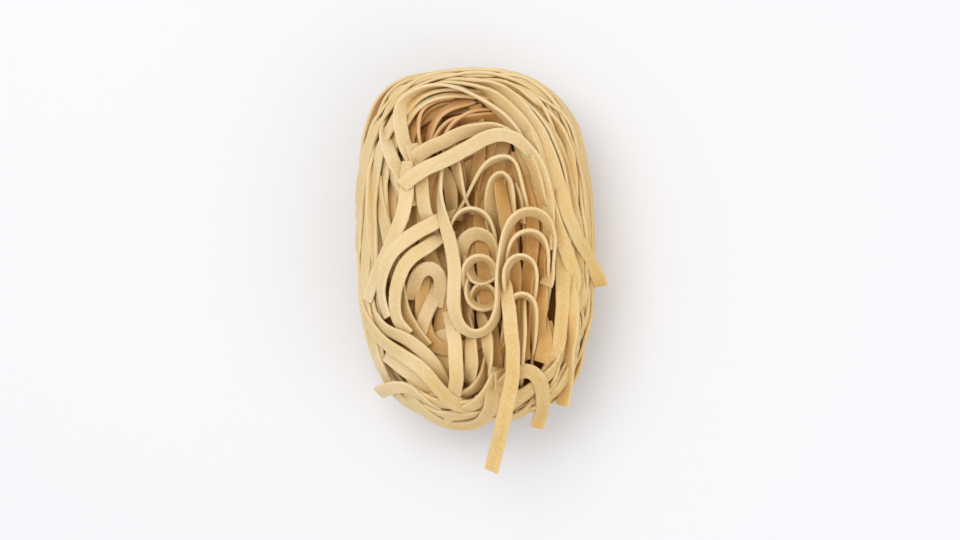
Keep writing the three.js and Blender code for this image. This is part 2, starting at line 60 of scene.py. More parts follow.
laidStrands = {  # points steer the middle of a strand, lean 0 lies flat and 90 stands on edge
    "overTopEnd": [
        ([40, 45, 50, 65, 75, 75, 70, 60, 50, 45, 45, 45, 45], [(-27, -18, 26.5), (-29, -9.5, 26),
            (-30, -0.5, 25), (-32, 10.5, 17.5), (-31.5, 20.5, 18), (-30.5, 29.5, 18), (-28, 39, 18),
            (-22.5, 45, 18), (-14.5, 47.5, 18), (-4, 48, 18), (7.5, 45, 26.5), (17, 40.5, 27.5),
            (23.5, 34.5, 26.5), (27, 27, 26), (29, 17.5, 26.5), (29.5, 7.5, 27), (30, -2, 27),
            (30, -12, 26), (30, -21, 22), (29, -29, 17.5), (27, -36, 17), (22.5, -41.5, 14.5),
            (15.5, -44, 12)]),
        ([40, 50, 60, 75, 75, 65, 50, 35, 28, 25, 25, 25], [(-24, -7.5, 29.5), (-26, 0, 29.5),
            (-27, 8.5, 30), (-27, 17.5, 29.5), (-27.5, 27, 26), (-27, 36, 18.5), (-23.5, 42.5, 18.5),
            (-18, 46, 18.5), (-10, 47, 18.5), (0.5, 44, 29), (8.5, 41, 31.5), (15.5, 36, 32.5),
            (21, 29.5, 32), (24, 22.5, 32), (25.5, 14, 32), (26, 5, 31.5), (26.5, -4, 31),
            (26.5, -13, 31), (27, -22, 30), (26, -30, 27.5), (24.5, -37, 19.5), (24, -44, 19)]),
        ([20, 35, 45, 60, 75, 70, 55, 40, 30, 30, 40], [(-15, 9.5, 34.5), (-17.5, 16, 34.5),
            (-21, 22, 33.5), (-23, 29, 31), (-25, 37.5, 19), (-22.5, 43, 19), (-17, 45.5, 19),
            (-9, 44.5, 27.5), (-1, 42.5, 31.5), (6.5, 39, 34.5), (12, 34.5, 35), (15.5, 30.5, 35),
            (18, 25, 35), (20, 18.5, 34.5), (21.5, 10.5, 34.5), (22, 2.5, 32.5), (22.5, -6, 30.5)]),
        ([45, 55, 70, 80, 65, 50], [(-14, 19.5, 32.5), (-17, 24.5, 33.5), (-18.5, 30.5, 33.5),
            (-18.5, 36.5, 31), (-15.5, 40, 30.5), (-10.5, 42, 31), (-5.5, 42, 32.5), (-0.5, 40, 34.5),
            (4.5, 37, 35.5), (9, 33.5, 35.5), (12.5, 29.5, 35.5), (15, 24, 34.5), (16.5, 18.5, 33.5)]),
    ],
    "inPocket": [
        ([70, 75, 70], [(-4.5, 40, 30), (-10, 39, 30.5), (-13.5, 36, 31.5), (-14, 32, 32.5),
            (-13.5, 27.5, 32.5), (-11.5, 23.5, 31.5)]),
        ([70, 75, 70], [(1, 37.5, 31), (-4, 36.5, 32), (-7.5, 34.5, 32.5), (-9.5, 31.5, 33),
            (-10.5, 28.5, 32.5), (-11.5, 24.5, 31.5)]),
        ([75, 75, 70], [(6, 35, 31.5), (1.5, 35, 32.5), (-2.5, 33, 33), (-5, 31, 33), (-7.5, 27.5, 32.5),
            (-9, 24, 31.5)]),
        ([80, 80, 70], [(11, 29, 33.5), (6.5, 31, 34), (1.5, 31.5, 34), (-2.5, 30.5, 34),
            (-6.5, 28.5, 33.5), (-9, 26, 33.5)]),
        ([50, 50], [(-18, 38.5, 24), (-16, 31.5, 28.5), (-16.5, 24, 29.5)]),
        ([40, 30, 40], [(-8, 39.5, 26.5), (-10, 33, 28.5), (-11, 25.5, 29)]),
    ],
    "slantwise": [
        ([20, 30, 45, 55, 50, 45], [(-14, 22, 36.5), (-11, 24.5, 37), (-6.5, 26, 37.5), (-2, 28.5, 37.5),
            (2.5, 29.5, 37.5), (7, 30, 37.5), (11, 28.5, 37), (15, 25, 36.5), (18, 20, 36.5),
            (19.5, 14, 35.5), (20, 7, 35)]),
        ([15, 20, 30, 45, 50, 50], [(-17.5, 14.5, 37), (-14.5, 17, 38), (-10, 19.5, 38.5),
            (-5, 21.5, 38), (-0.5, 24, 38), (4, 26.5, 38.5), (8, 28, 39), (12, 27.5, 38.5),
            (16, 24.5, 38), (19.5, 19.5, 37), (21.5, 13, 36), (22, 5.5, 35.5), (21.5, -3.5, 35.5)]),
    ],
    "inHollow": [
        ([20, 15, 20, 40], [(-15.5, 26, 33.5), (-13, 19, 35), (-12.5, 12.5, 35), (-12, 6.5, 33.5),
            (-9, 0, 30.5)]),
        ([40, 45, 70], [(-5, 26.5, 34.5), (-3.5, 21, 34), (-2.5, 16, 33), (-1.5, 12, 31.5),
            (0.5, 7.5, 29.5)]),
        ([70, 85, 85, 80, 60], [(-4, 6, 29), (-1.5, 11, 30.5), (1, 15.5, 32), (3.5, 19, 34),
            (6.5, 21.5, 35.5), (10.5, 22.5, 36), (13, 21, 36), (14, 17, 35.5), (14.5, 12.5, 34.5),
            (16, 8.5, 33.5)]),
        ([30, 45, 85, 88, 80], [(7, 0.5, 31), (6, 7.5, 31.5), (6, 13, 32.5), (6.5, 17, 33),
            (9.5, 18.5, 34), (11.5, 16, 34.5), (12, 11.5, 34), (12.5, 6, 34)]),
        ([30, 25, 40], [(-8.5, 22, 31.5), (-5.5, 17, 31), (-5, 12, 29.5), (-5, 6, 28)]),
        ([30, 25, 30], [(13, 27.5, 33.5), (15.5, 22, 33.5), (17, 15.5, 33.5), (17.5, 8, 33)]),
        ([30, 30], [(8, 23, 31), (7.5, 15.5, 30.5), (8, 7.5, 30.5), (7.5, 0, 30.5)]),
        ([35, 50], [(-2, 23, 30), (0.5, 16.5, 27.5), (1, 10, 27.5), (-0.5, 3.5, 27)]),
        ([75, 75], [(11, 14, 33.5), (13, 12.5, 34), (14.5, 9.5, 33.5), (15, 4.5, 32.5)]),
    ],
    "longBend": [
        ([60, 70, 70, 50, 25, 10, 5, 15, 45, 58, 60, 62, 65, 68, 65, 62, 60, 60, 60, 62, 65, 65], [
            (-6.5, 23.5, 32), (-7.5, 17.5, 34), (-8, 12, 35), (-7, 6, 36), (-5, 0.5, 36.5),
            (-3.5, -6, 36.5), (-3.5, -12.5, 36.5), (-4, -18, 37.5), (-2, -23.5, 38), (2, -26, 38.5),
            (6.5, -24, 38.5), (8.5, -19.5, 38.5), (8.5, -13.5, 38), (8.5, -8, 37.5), (9.5, -2.5, 38),
            (10.5, 3, 38), (13.5, 7, 38.5), (18, 7.5, 38.5), (21, 5.5, 37), (22, 0.5, 36),
            (22, -5.5, 35), (20.5, -12, 34)]),
    ],
    "leftFlank": [
        ([35, 40, 45, 45, 35, 25, 20], [(-23.5, 12.5, 29), (-25.5, 6, 29.5), (-27.5, -1, 29.5),
            (-28.5, -7.5, 29), (-28.5, -14, 29), (-26.5, -20, 30.5), (-23, -24, 33), (-18.5, -25.5, 35),
            (-14, -28, 36), (-10, -32, 35.5), (-7, -37, 33.5), (-6, -42, 28.5)]),
        ([60, 60, 45, 25, 15, 5, 10], [(-29, -4, 20.5), (-29.5, -12, 24), (-28, -20, 28),
            (-24, -26.5, 32), (-19, -30, 34.5), (-14.5, -32.5, 36), (-11, -35.5, 36), (-8, -39.5, 34.5),
            (-5, -43, 31.5), (-0.5, -44, 27.5)]),
        ([35, 30, 35], [(-24.5, 17.5, 29.5), (-23.5, 10, 31), (-22, 2.5, 32), (-20.5, -5, 32.5),
            (-19.5, -12.5, 32)]),
        ([50, 45, 50, 60], [(-21, 27.5, 29), (-21.5, 21, 32.5), (-20, 15.5, 34.5), (-17.5, 11, 35),
            (-17, 5.5, 34.5)]),
        ([35], [(-22.5, 43.5, 15), (-23.5, 34.5, 24), (-23, 25.5, 29), (-22.5, 17.5, 30)]),
        ([45, 40, 35, 45, 55], [(-16.5, 21.5, 34.5), (-16.5, 14, 35.5), (-17, 7.5, 36.5),
            (-19.5, 2, 36.5), (-22, -3.5, 35.5), (-25.5, -9, 32.5), (-27.5, -15.5, 30)]),
        ([60, 50, 50, 65, 75, 70, 60], [(-24.5, -27, 30), (-25, -33, 25.5), (-23, -37.5, 23),
            (-18, -40.5, 27), (-13, -44.5, 24.5), (-9, -48, 19.5), (-3, -49.5, 21), (2, -48.5, 21.5),
            (6, -44.5, 30), (7, -38.5, 33)]),
        ([15, 20, 35, 50], [(-25.5, -40.5, 25), (-21, -39, 32.5), (-17, -38.5, 31.5), (-13.5, -41, 30),
            (-9.5, -44.5, 26), (-6.5, -47, 17)]),
        ([45, 40, 40], [(-23, -30.5, 29.5), (-18.5, -34, 31.5), (-14, -38, 31.5), (-10, -42.5, 29.5),
            (-7.5, -47, 18)]),
    ],
    "leftMiddle": [
        ([30, 35], [(-22.5, 20.5, 30), (-21.5, 12, 31), (-22, 4, 31), (-23, -4, 30.5)]),
        ([40, 15, 5, 20, 40, 50], [(-5.5, 8, 30), (-7, 6, 33.5), (-10.5, 4, 36), (-14.5, 1.5, 37.5),
            (-19, -1.5, 38), (-22, -5.5, 37), (-23.5, -10, 35.5), (-24, -15, 34), (-22, -20.5, 34)]),
        ([40, 15, 5, 15, 35, 50], [(-5.5, 2.5, 29.5), (-7.5, 0.5, 33.5), (-11, -2, 36),
            (-14.5, -4, 37.5), (-17.5, -7.5, 38), (-19, -12, 37.5), (-20, -17, 36), (-19.5, -21.5, 35),
            (-16, -25, 35)]),
        ([25, 20, 20, 20, 30], [(-16, -15.5, 31.5), (-15, -11, 33), (-13, -8, 34.5), (-10.5, -7, 34.5),
            (-8, -9, 33.5), (-8, -12.5, 32), (-9.5, -17, 30.5)]),
        ([50, 50], [(-7, -7.5, 29.5), (-9, -14, 30.5), (-11.5, -19.5, 32), (-13.5, -25.5, 33)]),
        ([40, 40], [(-19, -11, 33.5), (-18, -17.5, 33.5), (-15, -23.5, 33.5), (-11, -28, 33.5)]),
        ([20, 15], [(-13, -7.5, 30), (-12, -12, 30), (-11.5, -17.5, 30), (-12, -23, 30.5)]),
    ],
    "overBottomEnd": [
        ([25, 10, 5, 10, 20], [(-5.5, -19, 32.5), (-3.5, -26, 37), (-3, -32.5, 38), (-3, -38.5, 36),
            (-4.5, -43, 31.5), (-7.5, -46, 17)]),
        ([30, 30, 25, 20, 20], [(-2, -12, 28), (-1, -19.5, 30), (0.5, -26, 35.5), (1, -31, 36.5),
            (1, -35, 35.5), (-0.5, -38.5, 29)]),
        ([40, 40, 25, 20, 20], [(1.5, -10.5, 27.5), (3, -17.5, 30.5), (5, -24, 35.5), (5.5, -29, 37),
            (5.5, -33, 35.5), (5, -36.5, 30)]),
        ([70, 75, 70, 60], [(13.5, -15.5, 33.5), (14.5, -19.5, 36), (15, -25, 37.5), (14.5, -30, 37),
            (14, -34, 34), (13.5, -37.5, 28)]),
        ([30, 20, 10, 10, 10], [(9, -38, 33), (12, -35, 35), (16.5, -34, 35), (19, -37, 32),
            (19, -42, 24.5), (18, -45.5, 19), (17, -50, 18.5)]),
        ([40, 35, 30, 30], [(20, -22, 30.5), (22, -29, 31), (22.5, -34.5, 28.5), (21.5, -39.5, 23),
            (18.5, -43, 15)]),
        ([60, 70, 60], [(-11, -41, 30), (-7, -45.5, 24.5), (-1.5, -47, 17.5), (4.5, -45, 26),
            (8, -40.5, 31), (7.5, -34.5, 33.5)]),
        ([30, 40], [(-8, -24, 31.5), (-6.5, -30.5, 31.5), (-7.5, -37, 30.5), (-10.5, -42.5, 26)]),
        ([40, 50], [(3.5, -27, 31.5), (2, -34.5, 31.5), (3, -42, 28), (8, -46, 20.5)]),
        ([45, 50, 50], [(-7, -43, 27.5), (-2.5, -42, 29), (1.5, -40, 31), (4.5, -36.5, 32),
            (6, -31.5, 32)]),
        ([50, 55, 50], [(-8.5, -46, 22.5), (-3, -45, 26.5), (2, -43, 29.5), (5.5, -39, 32),
            (7, -34, 32.5)]),
        ([25, 15, 5, 0, 0, 0], [(10, -10, 32), (11, -14.5, 37), (11.5, -20, 39), (12, -26, 39.5),
            (12.5, -32.5, 39.5), (12, -38, 38.5), (10.5, -43.5, 37), (9, -49.5, 35), (7.5, -55, 32),
            (5.5, -61.5, 29)]),
    ],
    "rightFlank": [
        ([70, 60, 45, 30, 20, 12, 12, 15, 20], [(-8, 45, 26.5), (1.5, 43, 30.5), (9, 40, 33),
            (14, 35.5, 34.5), (18.5, 30, 35), (21.5, 23.5, 35), (23, 16, 34.5), (25, 8.5, 34),
            (27.5, 2, 32), (30.5, -4.5, 27), (34.5, -11.5, 20.5)]),
        ([65, 55, 45, 40, 40, 45], [(1, 45.5, 25.5), (10.5, 43, 29), (17.5, 38.5, 29.5),
            (23, 32.5, 29.5), (25.5, 25.5, 29.5), (27, 18, 30), (27.5, 10, 29.5), (27, 2.5, 28.5)]),
        ([45, 40, 40], [(19.5, 25.5, 32), (21, 17, 32.5), (22, 7, 32.5), (22, -3.5, 31.5)]),
        ([60, 50, 40, 28, 20, 18, 20, 30, 50], [(7.5, 37.5, 32.5), (13, 33, 34), (16.5, 27.5, 35),
            (19, 20.5, 35.5), (21, 13.5, 35.5), (23, 6, 34.5), (25, -1, 33.5), (27, -8.5, 31),
            (28, -16.5, 28), (28, -25, 22.5)]),
    ],
}
sweptStrands = [  # round the flanks: from and to in degrees, height angles on the way, distances out
    (175, -75, [8, 22, 28, 22, 12], [1.02, 1.02, 1]),
    (100, -65, [12, 7, 10, 4, -6], [1.03, 1.02, 1]),
    (20, -130, [58, 48, 30, 15], [1.02, 1, 1, 0.95]),
    (-20, -165, [25, 22, 20, 25], [0.8, 0.9, 0.9, 0.8]),
]
tightBends = [  # x, y, radius, z, leg length, turn and lean in degrees
    (16.1, -3.3, 5.4, 37.1, 14.2, 3, 76),
    (14.5, -8.9, 4.3, 38, 10.9, 2, 76),
    (14.3, -18.5, 3.9, 37.1, 14.2, 6, 74),
    (0.5, 2.2, 6.4, 33.2, 10, -4, 90),
    (2.5, -3, 5, 32.9, 7.5, 3, 36),
    (3.5, -8.9, 4.3, 34.5, 6.7, 0, 70),
    (3.6, -7.9, 4.3, 33.2, 5.9, 176, 68),
    (3.7, -14.4, 4.1, 33.9, 6.7, 183, 68),
    (3.2, -15.4, 3.9, 32.7, 7.5, -4, 66),
]

golden = (math.sqrt(5) - 1) / 2
goldenTurn = 0.3819660113


def spread(i, salt):  # evenly spread number from 0 to 1
    return (i * golden + salt * goldenTurn + 0.17 * salt * salt) % 1.0


def wander(t, i, salt, waves=(1.0, 2.3, 3.7)):  # smooth, between about -1 and 1
    total = 0.0
    for k, f in enumerate(waves):
        total = total + np.sin(2 * math.pi * (f * t + spread(i + 3 * k, salt + k))) / (1 + k)
    return total / 1.5


def along(values, t):
    return np.interp(t, np.linspace(0, 1, len(values)), values)


def smoothCurve(rows, per):  # uniform cubic B-spline, ends at the first and last row
    q = np.asarray(rows, float)
    q = np.vstack([2 * q[0] - q[1], q, 2 * q[-1] - q[-2]])
    u = np.linspace(0, 1, per, endpoint=False)[:, None]
    parts = []
    for a, b, c, d in zip(q, q[1:], q[2:], q[3:]):
        parts.append(((1 - u) ** 3 * a + (3 * u ** 3 - 6 * u ** 2 + 4) * b
                      + (-3 * u ** 3 + 3 * u ** 2 + 3 * u + 1) * c + u ** 3 * d) / 6)
    return np.vstack(parts + [q[-2][None]])


def evenStations(points, facing):
    run = np.concatenate([[0], np.cumsum(np.linalg.norm(np.diff(points, axis=0), axis=1))])
    at = np.linspace(0, run[-1], max(8, int(round(run[-1] / strand["gap"]))) + 1)
    both = np.stack([np.interp(at, run, column) for column in np.hstack([points, facing]).T], axis=1)
    return both[:, :3], both[:, 3:]


def cutTo(pair, share):
    keep = int(strand["length"] * share / strand["gap"])
    return pair[0][:keep], pair[1][:keep]


def signedPower(v, e):
    return np.sign(v) * np.abs(v) ** e


def onRing(theta, psi, rho):  # theta round the nest, psi round the tube, rho out from its middle
    out = ring["tubeWidth"] * rho * np.cos(psi)
    e = 2 / ring["squareness"]
    x = (ring["halfWidth"] + out) * signedPower(np.cos(theta), e)
    y = (ring["halfLength"] + out) * signedPower(np.sin(theta), e)
    z = ring["middle"] + ring["tubeHeight"] * rho * signedPower(np.sin(psi), ring["tubeSquareness"])
    return np.stack([x, y, z + 0 * x], axis=1)


def ringFacing(theta, face, upright=0.85):  # strands stand on edge at the ends of the nest
    x, y = np.cos(theta) * ring["halfLength"], np.sin(theta) * ring["halfWidth"]
    k = np.cos(face) / np.hypot(x, y)
    z = np.sin(face) * (1 - upright * np.abs(np.sin(theta)) ** 1.5)
    return np.stack([x * k, y * k, z], axis=1)


hoopRun = {  # once round the flanks: angles round the tube in radians, distances in shares of the tube
    "lowest": -64, "highest": 62, "climbs": 40,  # in degrees
    "turns": 1.02, "moreTurns": 0.18,
    "sways": 0.2, "rolls": 0.5,
    "dips": 0.45,         # opens a gap beside the bends
    "sags": 0.5,          # towards the near end
    "out": 0.97, "outVaries": 0.05, "outMost": 1.01,
    "tucked": 0.25, "tuckedFrom": 0.86,  # the ends lie deeper
}


def hoopStrand(i):
    t = np.linspace(0, 1, 500)
    height = hoopRun["lowest"] + (hoopRun["highest"] - hoopRun["lowest"]) * ((i * golden + 0.03) % 1)
    psi = math.radians(height) + math.radians(hoopRun["climbs"] * (spread(i, 5) - 0.5)) * (t - 0.5)
    turns = (hoopRun["turns"] + hoopRun["moreTurns"] * spread(i, 4)) * (-1 if i % 4 == 3 else 1)
    theta = 2 * math.pi * (spread(i, 3) + turns * t)
    psi = psi + hoopRun["sways"] * wander(t, i, 6, (0.6, 1.3, 2.3))
    dip = hoopRun["dips"] * np.clip(psi, 0, 1) * np.maximum(0, np.cos(theta + 0.5)) ** 8
    psi = psi - hoopRun["sags"] * np.maximum(0, -np.sin(theta)) ** 3 - dip
    ends = np.maximum(0, np.abs(2 * t - 1) - hoopRun["tuckedFrom"]) / (1 - hoopRun["tuckedFrom"])
    rho = hoopRun["out"] + hoopRun["outVaries"] * wander(t, i, 8, (0.8, 1.7, 2.8))
    rho = np.minimum(rho, hoopRun["outMost"]) - hoopRun["tucked"] * ends ** 2
    roll = hoopRun["rolls"] * wander(t, i, 10, (0.9, 1.8, 3.5))
    return evenStations(onRing(theta, psi, rho), ringFacing(theta, psi + roll))


innerRun = {  # the strands inside the ring, wound more loosely
    "out": 0.72, "outVaries": 0.2, "outSways": 0.12, "outLeast": 0.1, "outMost": 0.95,
    "climbs": 7.2, "sways": 0.8, "rolls": 0.9,
    "turns": 3.2, "forwards": 0.7, "lags": 0.12,
    "length": 0.86, "moreLength": 0.24,
}


def innerStrand(i):
    t = np.linspace(0, 1, 900)
    out = innerRun["out"] + innerRun["outVaries"] * (i + 0.5) / wound["inner"]
    psi = 2 * math.pi * i * golden + (spread(i, 6) - 0.5) * innerRun["climbs"] * t
    psi = psi + innerRun["sways"] * wander(2 * t, i, 7, (0.8, 1.9, 3.4))
    rho = out * (1 + innerRun["outSways"] * wander(2 * t, i, 9, (1.1, 2.6, 4.1)))
    rho = np.clip(rho, innerRun["outLeast"], innerRun["outMost"])
    forwards = 1 if spread(i, 4) < innerRun["forwards"] else -1
    theta = 2 * math.pi * (spread(i, 3) + forwards * innerRun["turns"] * t)
    theta = theta + innerRun["lags"] * wander(2 * t, i, 14, (1.5, 3.1, 4.9))
    roll = innerRun["rolls"] * wander(2 * t, i, 11, (1.3, 2.7, 5.3))
    stations = evenStations(onRing(theta, psi, rho), ringFacing(theta, psi + roll))
    return cutTo(stations, innerRun["length"] + innerRun["moreLength"] * spread(i, 5))


underRun = {  # lengthwise under the bends that show
    "middle": 1.5, "halfWidth": 20, "halfLength": 37, "shorter": 0.35, "shifts": 3, "back": 6,
    "height": 29.5, "slopes": 2.5, "layer": 1.5,
    "sways": 2.2, "rises": 1.2, "leans": 0.7,
    "hole": (-3, 8.5), "holeSize": 40, "holeDepth": 6,  # dark, under the first loop
}


def underStrand(i):
    t = np.linspace(0, 1, 200)
    across = (i + 0.5) / wound["under"] * 2 - 1
    x = underRun["middle"] + underRun["halfWidth"] * across
    x = x + underRun["sways"] * wander(t, i, 42, (0.6, 1.3, 2.1))
    y = underRun["halfLength"] * (1 - underRun["shorter"] * abs(across)) * (1 - 2 * t)
    y = y + underRun["shifts"] * (spread(i, 45) - 0.5) - underRun["back"] * max(across, 0)
    holeX, holeY = underRun["hole"]
    hole = np.exp(-((x - holeX) ** 2 + (y - holeY) ** 2) / underRun["holeSize"])
    z = underRun["height"] + underRun["slopes"] * across
    z = z + underRun["rises"] * wander(t, i, 49, (0.7, 1.7, 3))
    z = z + underRun["layer"] * (i % 2) - underRun["holeDepth"] * hole
    facing = np.stack([underRun["leans"] * wander(t, i, 54, (0.5, 1.2, 2)), 0 * t, 1 + 0 * t], axis=1)
    return evenStations(np.stack([x, y, z], axis=1), facing)


baseRun = {  # flat under the nest, with the ends tucked in over the outer turns
    "halfWidth": 21, "halfLength": 39, "shorter": 0.3, "oval": 52, "shifts": 4,
    "height": 0.8, "layer": 0.9, "endsRise": 2.4, "sways": 3, "leans": 0.15,
}


def baseStrand(i):
    t = np.linspace(0, 1, 200)
    across = (i + 0.5) / wound["base"] * 2 - 1
    y = baseRun["halfLength"] * (1 - baseRun["shorter"] * across ** 2) * (1 - 2 * t)
    y = y + baseRun["shifts"] * (spread(i, 95) - 0.5)
    x = baseRun["halfWidth"] * across * np.sqrt(1 - (y / baseRun["oval"]) ** 2)
    x = x + baseRun["sways"] * wander(t, i, 96, (0.5, 1.2, 2.0))
    z = baseRun["height"] + baseRun["layer"] * (i % 2) + baseRun["endsRise"] * np.abs(2 * t - 1) ** 4
    facing = np.stack([baseRun["leans"] * wander(t, i, 99, (0.5, 1.2, 2)), 0 * t, 1 + 0 * t], axis=1)
    return evenStations(np.stack([x, y, z], axis=1), facing)


sweptRun = {"sways": 0.07, "outSways": 0.02, "rolls": 0.35}


def sweptStrand(i, start, end, climb, out):
    s = np.linspace(0, 1, 10)
    angles = start + (end - start) * s
    rows = np.stack([np.radians(angles), np.radians(along(climb, s)), along(out, s)], axis=1)
    theta, psi, rho = smoothCurve(rows, 40).T
    t = np.linspace(0, 1, len(theta))
    rho = rho * (1 + sweptRun["outSways"] * wander(t, i, 61))
    points = onRing(theta, psi + sweptRun["sways"] * wander(t, i, 60), rho)
    return evenStations(points, ringFacing(theta, psi + sweptRun["rolls"] * wander(t, i, 62)))


def laidStrand(lean, path):
    tips = np.radians(along(lean, np.linspace(0, 1, len(path))))
    curve = smoothCurve(np.column_stack([path, tips]), 24)
    points = curve[:, :3]
    ahead = np.vstack([points[1:], points[-1:]]) - np.vstack([points[:1], points[:-1]])
    side = np.stack([ahead[:, 1], -ahead[:, 0]], axis=1)
    side /= np.linalg.norm(side, axis=1)[:, None]
    facing = np.column_stack([side * np.sin(curve[:, 3:]), np.cos(curve[:, 3])])
    return evenStations(points, facing)


def bentStrand(x, y, radius, z, leg, degrees, lean):
    outline = [(-0.85, -leg, -9), (-1, -4.6, -2), (-1, 0, 0), (-0.72, 0.75 * radius, 0.3)]
    otherLeg = [(-u, v, dz) for u, v, dz in reversed(outline)]
    outline = outline + [(0, 1.08 * radius, 0.6)] + otherLeg
    c, s = math.cos(math.radians(degrees)), math.sin(math.radians(degrees))
    path = [(x + u * radius * c + v * s, y - u * radius * s + v * c, z + dz) for u, v, dz in outline]
    return laidStrand([lean], path)


def layStrands():
    strands = [innerStrand(i) for i in range(wound["inner"])]
    strands += [underStrand(i) for i in range(wound["under"])]
    strands += [hoopStrand(i) for i in range(wound["hoops"])]
    strands += [sweptStrand(i, *sweep) for i, sweep in enumerate(sweptStrands)]
    strands += [laidStrand(lean, path) for group in laidStrands.values() for lean, path in group]
    strands += [bentStrand(*bend) for bend in tightBends]
    strands += [baseStrand(i) for i in range(wound["base"])]
    return strands


settle = {  # the strands are laid through each other, then pushed apart until they rest on each other
    "crossingRounds": 90, "touchingRounds": 150,
    "clearance": 0.15,    # between strands that cross
    "touch": 1.05,        # between the middles of faces that lie on each other
    "hold": 0.04,         # pull back towards where each strand was laid
    "lowest": 0.52,       # middle of a strand that lies on the tray
    "reach": 3.6, "aside": 1.7,  # how far away crossings are looked for, and how far off they may be
    "steep": 0.4,         # sine of the angle from which two strands count as crossing
    "rows": (-0.384, -0.128, 0.128, 0.384),  # points over the width of a strand that touch others
    "eager": 1.05,        # share of a push that is taken, above 1 to settle sooner
    "slim": 0.35, "grown": 0.7,  # strands start this slim, and are whole after this share of rounds
    "crossingLook": 6, "touchingLook": 8,  # rounds between two searches for neighbours
    "crossingOwn": 8, "touchingOwn": 5,  # stations along its own strand that a point ignores
}


def strandEnds(owner):
    first = np.r_[True, owner[1:] != owner[:-1]]
    return np.flatnonzero(first), np.flatnonzero(np.r_[first[1:], True])


def directions(points, facing, first, last):
    tangent = np.empty_like(points)
    tangent[1:-1] = points[2:] - points[:-2]
    tangent[first] = points[first + 1] - points[first]
    tangent[last] = points[last] - points[last - 1]
    tangent /= np.linalg.norm(tangent, axis=1)[:, None] + 1e-9
    across = np.cross(facing, tangent)
    return tangent, across / (np.linalg.norm(across, axis=1)[:, None] + 1e-9)


def smoothAlong(v, inner, rounds):
    for _ in range(rounds):
        s = v.copy()
        s[1:-1] = 0.25 * v[:-2] + 0.5 * v[1:-1] + 0.25 * v[2:]
        v = np.where(inner[:, None], s, v)
    return v


def pairsWithin(points, reach):  # every two points nearer than reach, found through a grid of cells
    cell = np.floor((points - points.min(0)) / reach + 1e-6).astype(np.int64) + 1
    size = cell.max(0) + 2
    key = cell[:, 0] + size[0] * (cell[:, 1] + size[1] * cell[:, 2])
    order = np.argsort(key, kind="stable")
    ranked = key[order]
    one, two = [], []
    for dz in (-1, 0, 1):
        for dy in (-1, 0, 1):
            step = size[0] * (dy + size[1] * dz)
            low = np.searchsorted(ranked, key + step - 1, "left")
            count = np.searchsorted(ranked, key + step + 1, "right") - low
            a = np.repeat(np.arange(len(points)), count)
            b = order[np.repeat(low - np.cumsum(count) + count, count) + np.arange(count.sum())]
            near = a < b
            a, b = a[near], b[near]
            near = ((points[a] - points[b]) ** 2).sum(1) < reach * reach
            one.append(a[near])
            two.append(b[near])
    return np.concatenate(one), np.concatenate(two)


def gather(a, b, push, count):  # sum of the pushes on each point
    return np.stack([np.bincount(a, p, count) - np.bincount(b, p, count) for p in push.T], axis=1)


def partCrossings(laid, facing, owner):
    first, last = strandEnds(owner)
    inner = np.ones(len(laid), bool)
    inner[first] = inner[last] = False
    points, moved = laid.copy(), np.zeros_like(laid)
    tangent, across = directions(points, facing, first, last)
    width, thick = strand["width"] / 2, strand["thick"] / 2
    for step in range(settle["crossingRounds"]):
        grown = (1 - settle["slim"]) * step / (settle["grown"] * settle["crossingRounds"])
        grown = min(1.0, settle["slim"] + grown)
        if step % settle["crossingLook"] == 0:
            near = pairsWithin(points, settle["reach"])
            apart = (owner[near[0]] != owner[near[1]]) | (np.abs(near[0] - near[1]) > settle["crossingOwn"])
            near = near[0][apart], near[1][apart]
        tangent, across = directions(points, np.cross(tangent, across), first, last)
        upward = np.cross(tangent, across)
        normal = np.cross(tangent[near[0]], tangent[near[1]])
        steep = np.linalg.norm(normal, axis=1)
        crossed = steep > settle["steep"]
        a, b, normal = near[0][crossed], near[1][crossed], normal[crossed]
        normal /= np.linalg.norm(normal, axis=1)[:, None]
        between = points[a] - points[b]
        height = (between * normal).sum(1)
        sideways = np.linalg.norm(between - height[:, None] * normal, axis=1)
        room = settle["clearance"]
        for k in (a, b):
            room = room + np.abs((across[k] * normal).sum(1)) * width
            room = room + np.abs((upward[k] * normal).sum(1)) * thick
        need = grown * room - np.abs(height)
        hit = (need > 0) & (sideways < settle["aside"])
        a, b, normal = a[hit], b[hit], normal[hit]
        push = (0.5 * need[hit] * np.where(height[hit] >= 0, 1.0, -1.0))[:, None] * normal
        share = np.bincount(a, minlength=len(points)) + np.bincount(b, minlength=len(points))
        nudge = gather(a, b, push, len(points)) / np.maximum(share, 1)[:, None]
        moved = moved * (1 - 0.5 * settle["hold"]) + 0.8 * smoothAlong(nudge, inner, 3)
        moved = smoothAlong(moved, inner, 1)
        lowest = settle["lowest"] + np.abs(across[:, 2]) * (width - 0.5)
        moved[:, 2] += np.maximum(0, lowest - laid[:, 2] - moved[:, 2])
        points = laid + moved
    return points, across


